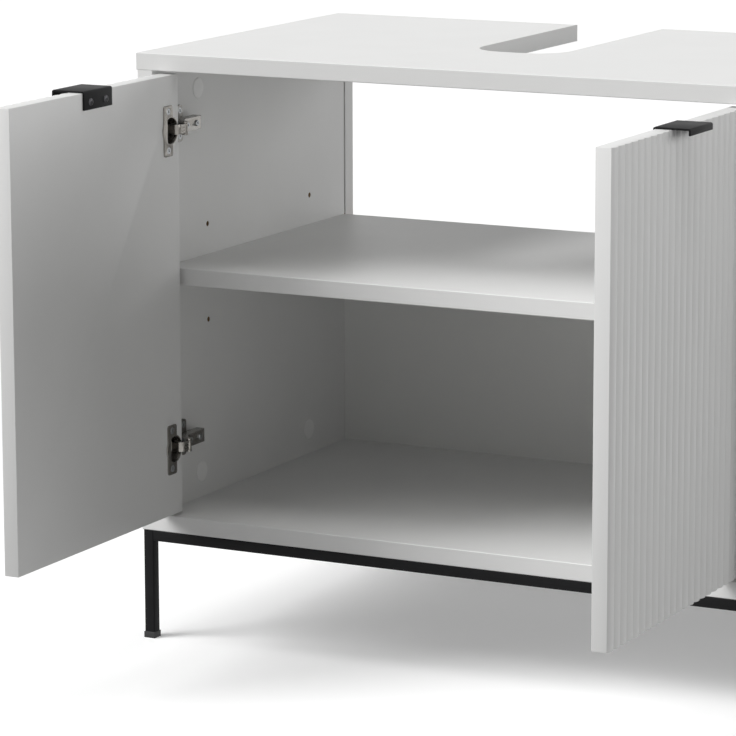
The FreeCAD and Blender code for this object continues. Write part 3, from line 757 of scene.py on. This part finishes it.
def joint_place(name, level):
    """Where a hinge's joint line passes a level."""
    place = next(joint["pos_m"] for joint in frame["joints"] if joint["name"] == name)
    return Vector((place[0], place[1], level))


def doubled(piece, name):
    """The upper hinge's piece with a copy at the lower hinge, as one piece."""
    upper, lower = hinge_levels()
    return joined(name, [piece, copied(piece, "lower", (0, 0, lower - upper))])


def flat_head_screw(name, seat, length):
    """A countersunk screw with a cross recess. Its flat head faces +X at the seat."""
    profile = [(0, 0), (2.95 * MM, 0), (3.3 * MM, -0.22 * MM), (1.75 * MM, -1.75 * MM), (1.75 * MM, -length),
               (0, -length)]
    screw = turned(name, profile, seat, (1, 0, 0), 28)
    recess(screw, seat, (1, 0, 0), 3.7 * MM, 1.3 * MM)
    return screw


class CABINET_OT_cups(bpy.types.Operator):
    """Models the pressed hinge cups with their flanges, and the screws in them"""
    bl_idname = "cabinet.cups"
    bl_label = "Hinge cups"

    def execute(self, context):
        level = hinge_levels()[0]
        mouth = cup_mouth(level)
        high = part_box("left_hinge_cups")[1]
        near = mouth.y + 4.3 * MM
        width = 16.1 * MM
        flange = block("left_hinge_cups_pressed", (mouth.x, near - width, high.z - FLANGE),
                       (high.x, near, high.z))
        bevelled(flange, 2.6 * MM, 5, lambda e: reach(e, 0) > 0.5 * MM)
        rim = round_bar("rim", RIM, mouth + at(0.05, 0, 0), mouth + at(1.2, 0, 0), 64)
        softened(rim, 0.35 * MM, 50, 3)
        cup = carved(flange, rim, "UNION")
        # millimetres from the mouth to the shell's bottom, the hollow's floor and its straight wall
        depth, floor, wall = 11.5, 10.9, 6.3
        carved(cup, round_bar("shell", CUP, mouth + at(0.5, 0, 0), mouth - at(depth, 0, 0), 64), "UNION")
        hollow = round_bar("hollow", 12.2 * MM, mouth + at(3, 0, 0), mouth - at(floor, 0, 0), 64)
        into_edit(hollow)
        bpy.ops.mesh.select_all(action="SELECT")
        bpy.ops.mesh.bisect(plane_co=mouth - at(0, wall, 0), plane_no=(0, 1, 0), use_fill=True,
                            clear_inner=True)
        out_of_edit()
        carved(cup, hollow)
        # half the width of the link's way out
        slot = 5.1
        carved(cup, block("notch", mouth - at(6, 0, slot), mouth + at(3, 15.5, slot)))
        apart = 18 * MM
        seats = [Vector((high.x, mouth.y - 3.5 * MM, level + side * apart)) for side in (-1, 1)]
        screws = []
        for seat in seats:
            carved(cup, round_bar("seat", SEAT, seat - at(0.9, 0, 0), seat + at(1, 0, 0), 28))
            screws.append(flat_head_screw("left_hinge_cup_screws_flat", seat + at(0.05, 0, 0), 12 * MM))
        softened(cup, 0.22 * MM, 40)
        both_sides(doubled(cup, "left_hinge_cups_pressed"), "hinge_cups_pressed", "door",
                   plated_steel("nickel_cup", context.scene.cabinet_finishes.nickel, 0.24, (1, 1, 0.2)),
                   "nickel", "hinge_cups")
        pair = doubled(joined("left_hinge_cup_screws_flat", screws), "left_hinge_cup_screws_flat")
        both_sides(pair, "hinge_cup_screws_flat", "door",
                   plated_steel("zinc_cup_screw", colour("ADAFB1"), 0.3), "zinc_screw",
                   "hinge_cup_screws")
        for side in SIDES:
            # darker than the shelf pins' nickel: painted shade for the dark cabinet inside that the hinges
            # reflect
            give(side + "_hinge_cup_pins", plated_steel("nickel_pin_" + side, colour("93908A"), 0.3))
        return {"FINISHED"}


class CABINET_OT_links(bpy.types.Operator):
    """Models the swing links, curved strips with two pressed grooves"""
    bl_idname = "cabinet.links"
    bl_label = "Hinge links"

    def execute(self, context):
        level = hinge_levels()[0]
        half = 4.5 * MM
        cup_pin = joint_place("left_door_swing", level)
        arm_pin = joint_place("left_link_swing", level)
        crank = cup_pin + at(12.3, 1.2, 0)
        down = Vector((0, 0, -half))
        link = drawn_line("left_hinge_links_curved", [cup_pin + down, crank + down, arm_pin + down])
        out_of_edit()
        pick(link, "VERT", lambda v: (v.co - crank - down).length < 0.1 * MM)
        bend = 4.5 * MM
        bpy.ops.mesh.bevel(offset=bend, segments=7, affect="VERTICES")
        bpy.ops.mesh.select_all(action="SELECT")
        bpy.ops.mesh.extrude_region_move(TRANSFORM_OT_translate={"value": (0, 0, 2 * half)})
        faces_out()
        sheet = 2.4 * MM
        with_modifier(link, "SOLIDIFY", thickness=sheet, offset=0, use_even_offset=True)
        run = (arm_pin - crank).normalized()
        out = Vector((run.y, -run.x, 0))
        for side in (-1, 1):
            groove = [crank + out * a * MM + run * b * MM + Vector((0, 0, (side * 1.55 - 0.45) * MM))
                      for a, b in ((0.65, 1.5), (0.65, 11.5), (3, 11.5), (3, 1.5))]
            carved(link, raised("groove", groove, at(0, 0, 0.9)))
        for pin, eye, hole in ((cup_pin, 2.0, 0.93), (arm_pin, 2.6, 1.63)):
            knuckle = round_bar("knuckle", eye * MM, pin - at(0, 0, 4.5), pin + at(0, 0, 4.5), 32)
            carved(link, knuckle, "UNION")
            carved(link, round_bar("hole", hole * MM, pin - at(0, 0, 6), pin + at(0, 0, 6), 24))
        softened(link, 0.28 * MM, 40)
        both_sides(doubled(link, "left_hinge_links_curved"), "hinge_links_curved", "hinge_links",
                   plated_steel("nickel_link", context.scene.cabinet_finishes.nickel, 0.22, (1, 1, 0.2)),
                   "nickel", "hinge_links")
        return {"FINISHED"}


class CABINET_OT_arms(bpy.types.Operator):
    """Models the channel arms with their rivets and set screws"""
    bl_idname = "cabinet.arms"
    bl_label = "Hinge arms"

    def execute(self, context):
        level = hinge_levels()[0]
        pin = joint_place("left_link_swing", level)
        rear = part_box("left_hinge_arms")[1].y
        side_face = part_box("left_side_panel")[1].x
        web = side_face + 14.5 * MM
        foot = side_face + 5 * MM
        knee = Vector((web, rear - 32 * MM, level))
        half = 6.2 * MM
        head = [pin + Vector((math.cos(turn), math.sin(turn), 0)) * 2.8 * MM
                for turn in (math.radians(value) for value in (45, 15, -15, -45, -75, -105, -135))]
        arch = [knee + (head[0] - knee) * share + at(-1, -0.8, 0) * 1.1 * math.sin(math.pi * share)
                for share in (0.0, 0.2, 0.4, 0.6, 0.8)]
        outline = [Vector((foot, rear - 36 * MM, level)), Vector((foot, rear, level)),
                   Vector((web - 2.5 * MM, rear, level)), Vector((web - 0.7 * MM, rear - 0.7 * MM, level)),
                   Vector((web, rear - 2.5 * MM, level))] + arch + head
        arm = raised("left_hinge_arms_channel", [corner - Vector((0, 0, half)) for corner in outline],
                     (0, 0, 2 * half))
        bevelled(arm, 2.2 * MM, 5, lambda e: reach(e, 2) < NEAR
                 and min(v.co.x for v in e.verts) > web - 1.5 * MM
                 and max(v.co.y for v in e.verts) < rear - 2 * MM
                 and min(v.co.y for v in e.verts) > knee.y - 11 * MM)
        # the gap between the channel's two cheeks: beside the web, behind the knee, around the pin
        beside, behind = web - 1.4 * MM, rear + 3 * MM
        inner = [(foot - 5 * MM, behind), (beside, behind), (beside, knee.y - 0.6 * MM),
                 (web + 3.6 * MM, knee.y - 9 * MM), (web + 7.6 * MM, knee.y - 6.3 * MM),
                 (web + 17 * MM, knee.y - 6.3 * MM), (web + 17 * MM, knee.y - 24 * MM),
                 (foot - 5 * MM, knee.y - 24 * MM)]
        gap = 4.8 * MM
        carved(arm, raised("gap", [Vector((x, y, level - gap)) for x, y in inner], (0, 0, 2 * gap)))
        slot = block("slot", (web - 3 * MM, knee.y + 0.6 * MM, level - 3.1 * MM),
                     (web + 2 * MM, knee.y + 2.5 * MM, level + 3.1 * MM))
        bevelled(slot, 0.9 * MM, 3, lambda e: reach(e, 0) > MM)
        carved(arm, slot)
        softened(arm, 0.18 * MM, 45)
        nickel = plated_steel("nickel_arm", context.scene.cabinet_finishes.nickel, 0.24, (1, 0.2, 1))
        both_sides(doubled(arm, "left_hinge_arms_channel"), "hinge_arms_channel", "carcass", nickel,
                   "nickel", "hinge_arms")
        self.rivets(pin, nickel)
        self.set_screws(web, rear)
        return {"FINISHED"}

    def rivets(self, pin, nickel):
        profile = [(0, 6.62), (1.2, 6.55), (1.9, 6.4), (2.05, 6.2), (1.58, 6.2), (1.58, -6.2), (2.05, -6.2),
                   (1.9, -6.4), (1.2, -6.55), (0, -6.62)]
        profile = [(r * MM, h * MM) for r, h in profile]
        rivet = turned("left_hinge_arm_pins_rivet", profile, pin, (0, 0, 1), 28)
        both_sides(doubled(rivet, "left_hinge_arm_pins_rivet"), "hinge_arm_pins_rivet", "carcass", nickel,
                   "nickel", "hinge_arm_pins")

    def set_screws(self, web, rear):
        level = hinge_levels()[0]
        profile = [(0, 1.2), (2.45, 1.2), (2.85, 0.85), (2.9, 0.02), (2.0, 0.02), (2.0, -12.4), (0, -12.4)]
        screws = []
        for back in (28, 10):
            base = Vector((web, rear - back * MM, level))
            screw = turned("set_screw", [(r * MM, h * MM) for r, h in profile], base, (1, 0, 0), 28)
            recess(screw, base + at(1.2, 0, 0), (1, 0, 0), 3.4 * MM, 1.0 * MM)
            screws.append(screw)
        pair = doubled(joined("left_hinge_adjusters_set", screws), "left_hinge_adjusters_set")
        both_sides(pair, "hinge_adjusters_set", "carcass",
                   plated_steel("zinc_set_screw", colour("A9ABAD"), 0.3), "zinc_screw",
                   "hinge_adjusters")


class CABINET_OT_plates(bpy.types.Operator):
    """Models the cast mounting plates and their screws"""
    bl_idname = "cabinet.plates"
    bl_label = "Mounting plates"

    def execute(self, context):
        level = hinge_levels()[0]
        low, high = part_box("left_hinge_plates")
        middle = low.y + 18.8 * MM
        plate = block("left_hinge_plates_cast", (low.x, low.y, level - 4.4 * MM),
                      (high.x, high.y, level + 4.4 * MM))
        bevelled(plate, 1.6 * MM, 4, lambda e: reach(e, 0) > MM)
        # the wings that carry the screws: their thickness, half their width and half their span
        thick, half, span = 2 * MM, 4.8 * MM, 17.3 * MM
        wing = block("wing", (low.x, middle - half, level - span), (low.x + thick, middle + half, level + span))
        bevelled(wing, 3.4 * MM, 5, lambda e: reach(e, 0) > MM)
        carved(plate, wing, "UNION")
        screws = []
        for side in (-1, 1):
            seat = Vector((low.x + thick, middle, level + side * 12 * MM))
            carved(plate, round_bar("seat", SEAT, seat - at(1.2, 0, 0), seat + at(1, 0, 0), 28))
            screws.append(flat_head_screw("plate_screw", seat, 12 * MM))
        softened(plate, 0.35 * MM, 40)
        # the cast plates' nickel is darkened too: painted shade for the dark cabinet inside that they reflect
        both_sides(doubled(plate, "left_hinge_plates_cast"), "hinge_plates_cast", "carcass",
                   plated_steel("nickel_cast", colour("8C8A86"), 0.36), "nickel_cast",
                   "hinge_plates")
        pair = doubled(joined("left_hinge_plate_screws_flat", screws), "left_hinge_plate_screws_flat")
        both_sides(pair, "hinge_plate_screws_flat", "carcass",
                   plated_steel("zinc_plate_screw", colour("ADAFB1"), 0.32), "zinc_screw",
                   "hinge_plate_screws")
        return {"FINISHED"}


# ---- stage ----
class CABINET_OT_stage(bpy.types.Operator):
    """Sets the pale floor, the room, the lamps and the camera"""
    bl_idname = "cabinet.stage"
    bl_label = "Stage"

    def execute(self, context):
        light = context.scene.cabinet_light
        self.floor()
        self.room(light.ambient)
        self.lamp("key", light.key, (-50, 35), 30)
        self.lamp("high", light.high, (-35, 52), 34)
        self.lamp("overhead", light.overhead, (8, 80), 24)
        self.lamp("side", light.side, (88, 8), 30)
        self.lamp("rim", light.rim, (128, 14), 24)
        self.camera()
        context.scene.view_settings.view_transform = "Standard"
        return {"FINISHED"}

    def floor(self):
        bpy.ops.object.select_all(action="DESELECT")
        bpy.ops.mesh.primitive_grid_add(x_subdivisions=8, y_subdivisions=8, size=60, location=(0, 0, 0))
        floor = bpy.context.object
        floor.name = "floor"
        finish, tree = new_finish("studio_floor")
        seen = seen_rays(tree)
        tone = add(tree, "ShaderNodeMix", {"Factor": seen, "A": colour("A8A8A8"), "B": colour("F0F0F0")},
                   data_type="RGBA")
        body = add(tree, "ShaderNodeBsdfDiffuse", {"Color": tone.outputs["Result"]})
        glow = add(tree, "ShaderNodeEmission", {"Color": (1, 1, 1, 1), "Strength": 0.26})
        lit = add(tree, "ShaderNodeAddShader", {0: body.outputs[0], 1: glow.outputs[0]})
        shader = add(tree, "ShaderNodeMixShader", {0: seen, 1: body.outputs[0], 2: lit.outputs[0]})
        close_finish(tree, shader)
        floor.data.materials.append(finish)

    def room(self, ambient):
        world = bpy.data.worlds.new("studio")
        bpy.context.scene.world = world
        world.use_nodes = True
        tree = world.node_tree
        tree.nodes.clear()
        seen = seen_rays(tree)
        even = add(tree, "ShaderNodeBackground", {"Color": (1, 1, 1, 1), "Strength": ambient})
        white = add(tree, "ShaderNodeBackground", {"Color": (1, 1, 1, 1), "Strength": 1.0})
        mixed = add(tree, "ShaderNodeMixShader", {0: seen, 1: even.outputs[0], 2: white.outputs[0]})
        add(tree, "ShaderNodeOutputWorld", {"Surface": mixed.outputs[0]})

    def lamp(self, name, strength, way, spread):
        """A wide sun. way is (degrees to the right of the front, degrees up) that it shines from."""
        turn, lift = (math.radians(value) for value in way)
        source = Vector((math.sin(turn) * math.cos(lift), -math.cos(turn) * math.cos(lift), math.sin(lift)))
        bpy.ops.object.light_add(type="SUN", location=source * 3)
        lamp = bpy.context.object
        lamp.name = name
        lamp.rotation_euler = source.to_track_quat("Z", "Y").to_euler()
        lamp.data.energy = strength
        lamp.data.angle = math.radians(spread)

    def camera(self):
        bpy.ops.object.camera_add(location=(1.4984, -3.1237, 0.9483))
        camera = bpy.context.object
        yaw, pitch, roll = (math.radians(value) for value in (27.14, 10.99, -0.14))
        turn = (Matrix.Rotation(yaw, 3, "Z") @ Matrix.Rotation(math.pi / 2 - pitch, 3, "X")
                @ Matrix.Rotation(roll, 3, "Z"))
        camera.rotation_euler = turn.to_euler()
        camera.data.sensor_width = 36
        camera.data.lens = 3873 / 736 * 36
        camera.data.clip_end = 200
        bpy.context.scene.camera = camera


def seen_rays(tree):
    """1 for rays from the camera and for those in gloss and glass."""
    path = add(tree, "ShaderNodeLightPath")
    first = add(tree, "ShaderNodeMath", {0: path.outputs["Is Camera Ray"],
                                         1: path.outputs["Is Glossy Ray"]}, operation="MAXIMUM")
    return add(tree, "ShaderNodeMath", {0: first.outputs[0], 1: path.outputs["Is Transmission Ray"]},
               operation="MAXIMUM").outputs[0]


class CABINET_PT_panel(bpy.types.Panel):
    """Sizes, colours and pieces of the cabinet"""
    bl_idname = "CABINET_PT_panel"
    bl_label = "Sink Base Cabinet"
    bl_space_type = "VIEW_3D"
    bl_region_type = "UI"
    bl_category = "Cabinet"

    def draw(self, context):
        layout = self.layout
        for group in (context.scene.cabinet_finishes, context.scene.cabinet_sizes,
                      context.scene.cabinet_light):
            for name in group.__annotations__:
                layout.prop(group, name)
        for piece in PIECES:
            layout.operator(piece.bl_idname)


PIECES = (CABINET_OT_stage, CABINET_OT_boards, CABINET_OT_fittings, CABINET_OT_covers, CABINET_OT_doors,
          CABINET_OT_handles, CABINET_OT_base, CABINET_OT_feet, CABINET_OT_cups, CABINET_OT_links,
          CABINET_OT_arms, CABINET_OT_plates)
GROUPS = {"cabinet_finishes": CabinetFinishes, "cabinet_sizes": CabinetSizes, "cabinet_light": CabinetLight}


def register():
    for group in GROUPS.values():
        bpy.utils.register_class(group)
    for piece in PIECES:
        bpy.utils.register_class(piece)
    bpy.utils.register_class(CABINET_PT_panel)
    for name, group in GROUPS.items():
        setattr(bpy.types.Scene, name, bpy.props.PointerProperty(type=group))


def unregister():
    for name in GROUPS:
        delattr(bpy.types.Scene, name)
    bpy.utils.unregister_class(CABINET_PT_panel)
    for piece in reversed(PIECES):
        bpy.utils.unregister_class(piece)
    for group in GROUPS.values():
        bpy.utils.unregister_class(group)


def build_cabinet():
    register()
    for piece in PIECES:
        getattr(bpy.ops.cabinet, piece.bl_idname.split(".")[1])()


if __name__ == "__main__":
    build_cabinet()
